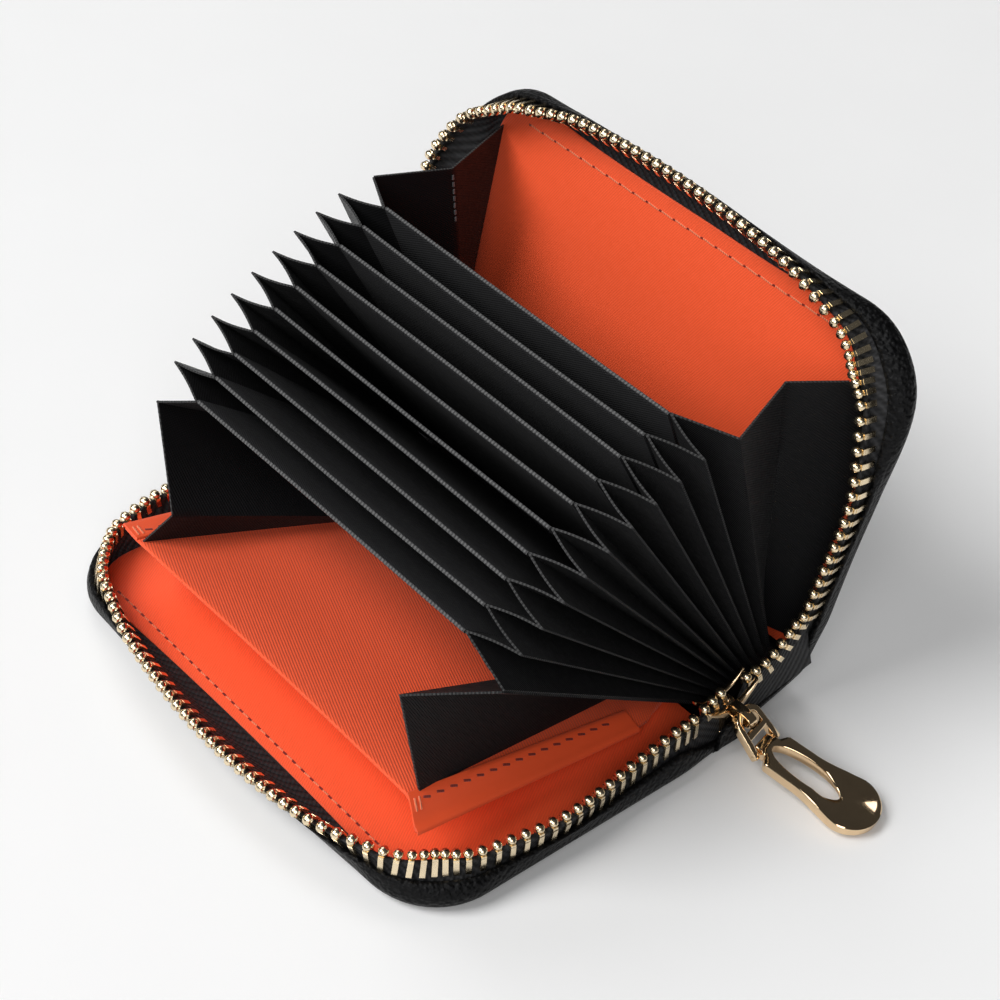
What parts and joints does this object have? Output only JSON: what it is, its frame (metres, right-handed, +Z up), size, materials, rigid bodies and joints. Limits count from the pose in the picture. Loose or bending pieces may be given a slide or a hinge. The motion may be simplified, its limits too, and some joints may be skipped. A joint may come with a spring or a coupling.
{
  "type": "zip card case",
  "caption": "Zip-round leather card case lying open: a fan of pleated fabric dividers between two rounded covers, with a metal zip and a spoon-shaped pull.",
  "frame": {"origin": "centre of the front cover's outer face, on the table", "axes": "+X from the front cover's free edge to the spine, +Y along the spine away from the zip slider, +Z up from the table"},
  "size_m": [0.1239, 0.1614, 0.0955],
  "materials": {
    "leather": "fine pebbled grain, satin",
    "stiffener": "matte sheet",
    "lining": "fine woven lining cloth",
    "pocket_cloth": "ribbed cloth with stitched edges",
    "twill": "dense nylon twill",
    "zip_tape": "herringbone tape",
    "zip_teeth": "polished pale gold",
    "polished_gold": "polished pale gold plate"
  },
  "bodies": {
    "front_cover": {"front_cover_leather": "leather", "front_cover_board": "stiffener", "front_cover_lining": "lining", "front_zip_tape": "zip_tape", "front_zip_teeth": "zip_teeth", "chain_end": "zip_teeth"},
    "spine": {"spine_leather": "leather", "spine_board": "stiffener", "spine_lining": "lining"},
    "rear_cover": {"rear_cover_leather": "leather", "rear_cover_board": "stiffener", "rear_cover_lining": "lining", "rear_zip_tape": "zip_tape", "rear_zip_teeth": "zip_teeth"},
    "pocket_panel": {"pocket_panel": "pocket_cloth", "pocket_binding_near": "pocket_cloth", "pocket_binding_far": "pocket_cloth"},
    "divider_01": {"divider_01": "twill", "gusset_near_01": "twill", "gusset_far_01": "twill", "gusset_near_front": "twill", "gusset_far_front": "twill"},
    "divider_02": {"divider_02": "twill", "gusset_near_02": "twill", "gusset_far_02": "twill"},
    "divider_03": {"divider_03": "twill", "gusset_near_03": "twill", "gusset_far_03": "twill"},
    "divider_04": {"divider_04": "twill", "gusset_near_04": "twill", "gusset_far_04": "twill"},
    "divider_05": {"divider_05": "twill", "gusset_near_05": "twill", "gusset_far_05": "twill"},
    "divider_06": {"divider_06": "twill", "gusset_near_06": "twill", "gusset_far_06": "twill"},
    "divider_07": {"divider_07": "twill", "gusset_near_07": "twill", "gusset_far_07": "twill"},
    "divider_08": {"divider_08": "twill", "gusset_near_08": "twill", "gusset_far_08": "twill"},
    "divider_09": {"divider_09": "twill", "gusset_near_09": "twill", "gusset_far_09": "twill"},
    "divider_10": {"divider_10": "twill", "gusset_near_rear": "twill", "gusset_far_rear": "twill"},
    "zip_slider": {"slider_body": "polished_gold"},
    "pull_link": {"pull_link": "polished_gold", "link_pin": "polished_gold"},
    "pull_tab": {"pull_tab": "polished_gold"}
  },
  "joints": [
    {"name": "spine_fold", "type": "hinge", "parent": "front_cover", "child": "spine", "pos_m": [0.0405, 0, 0.002], "axis": [0, -1, 0], "range_deg": [0, 77], "deforming": ["gusset_near_01", "gusset_near_02", "gusset_near_03", "gusset_near_04", "gusset_near_05", "gusset_near_06", "gusset_near_07", "gusset_near_08", "gusset_near_09", "gusset_near_front", "gusset_near_rear", "gusset_far_01", "gusset_far_02", "gusset_far_03", "gusset_far_04", "gusset_far_05", "gusset_far_06", "gusset_far_07", "gusset_far_08", "gusset_far_09", "gusset_far_front", "gusset_far_rear"]},
    {"name": "rear_fold", "type": "hinge", "parent": "spine", "child": "rear_cover", "pos_m": [0.06194, 0, 0.00695], "axis": [0, -1, 0], "range_deg": [0, 22.05]},
    {"name": "pocket_panel_fold", "type": "hinge", "parent": "front_cover", "child": "pocket_panel", "pos_m": [0.0377, 0, 0.0038], "axis": [0, -1, 0], "range_deg": [0, 12.05]},
    {"name": "divider_fold_01", "type": "hinge", "parent": "spine", "child": "divider_01", "pos_m": [0.04327, 0, 0.00469], "axis": [0, -1, 0], "range_deg": [-40.55, 0]},
    {"name": "divider_fold_02", "type": "hinge", "parent": "spine", "child": "divider_02", "pos_m": [0.0448, 0, 0.00505], "axis": [0, -1, 0], "range_deg": [-37.11, 0]},
    {"name": "divider_fold_03", "type": "hinge", "parent": "spine", "child": "divider_03", "pos_m": [0.04634, 0, 0.0054], "axis": [0, -1, 0], "range_deg": [-33.66, 0]},
    {"name": "divider_fold_04", "type": "hinge", "parent": "spine", "child": "divider_04", "pos_m": [0.04788, 0, 0.00575], "axis": [0, -1, 0], "range_deg": [-30.22, 0]},
    {"name": "divider_fold_05", "type": "hinge", "parent": "spine", "child": "divider_05", "pos_m": [0.04941, 0, 0.00611], "axis": [0, -1, 0], "range_deg": [-26.77, 0]},
    {"name": "divider_fold_06", "type": "hinge", "parent": "spine", "child": "divider_06", "pos_m": [0.05095, 0, 0.00647], "axis": [0, -1, 0], "range_deg": [-23.33, 0]},
    {"name": "divider_fold_07", "type": "hinge", "parent": "spine", "child": "divider_07", "pos_m": [0.05248, 0, 0.00682], "axis": [0, -1, 0], "range_deg": [-19.88, 0]},
    {"name": "divider_fold_08", "type": "hinge", "parent": "spine", "child": "divider_08", "pos_m": [0.05402, 0, 0.00717], "axis": [0, -1, 0], "range_deg": [-16.44, 0]},
    {"name": "divider_fold_09", "type": "hinge", "parent": "spine", "child": "divider_09", "pos_m": [0.05556, 0, 0.00753], "axis": [0, -1, 0], "range_deg": [-12.99, 0]},
    {"name": "divider_fold_10", "type": "hinge", "parent": "spine", "child": "divider_10", "pos_m": [0.05709, 0, 0.00788], "axis": [0, -1, 0], "range_deg": [-9.55, 0]},
    {"name": "slider_slide", "type": "slide", "parent": "front_cover", "child": "zip_slider", "axis": [0, 0, 1], "range_m": [0, 0.003]},
    {"name": "link_hinge", "type": "hinge", "parent": "zip_slider", "child": "pull_link", "pos_m": [0.0395, -0.06125, 0.0112], "axis": [-0.9703, -0.2419, 0], "range_deg": [-20, 80]},
    {"name": "tab_hinge", "type": "hinge", "parent": "pull_link", "child": "pull_tab", "pos_m": [0.04082, -0.06654, 0.0062], "axis": [-0.9703, -0.2419, 0], "range_deg": [-45, 45]}
  ],
  "couplings": [
    {"joint": "rear_fold", "follows": "spine_fold", "ratio": 0.28571},
    {"joint": "pocket_panel_fold", "follows": "spine_fold", "ratio": 0.15584},
    {"joint": "divider_fold_01", "follows": "spine_fold", "ratio": -0.52597},
    {"joint": "divider_fold_02", "follows": "spine_fold", "ratio": -0.48124},
    {"joint": "divider_fold_03", "follows": "spine_fold", "ratio": -0.43651},
    {"joint": "divider_fold_04", "follows": "spine_fold", "ratio": -0.39177},
    {"joint": "divider_fold_05", "follows": "spine_fold", "ratio": -0.34704},
    {"joint": "divider_fold_06", "follows": "spine_fold", "ratio": -0.30231},
    {"joint": "divider_fold_07", "follows": "spine_fold", "ratio": -0.25758},
    {"joint": "divider_fold_08", "follows": "spine_fold", "ratio": -0.21284},
    {"joint": "divider_fold_09", "follows": "spine_fold", "ratio": -0.16811},
    {"joint": "divider_fold_10", "follows": "spine_fold", "ratio": -0.12338}
  ]
}
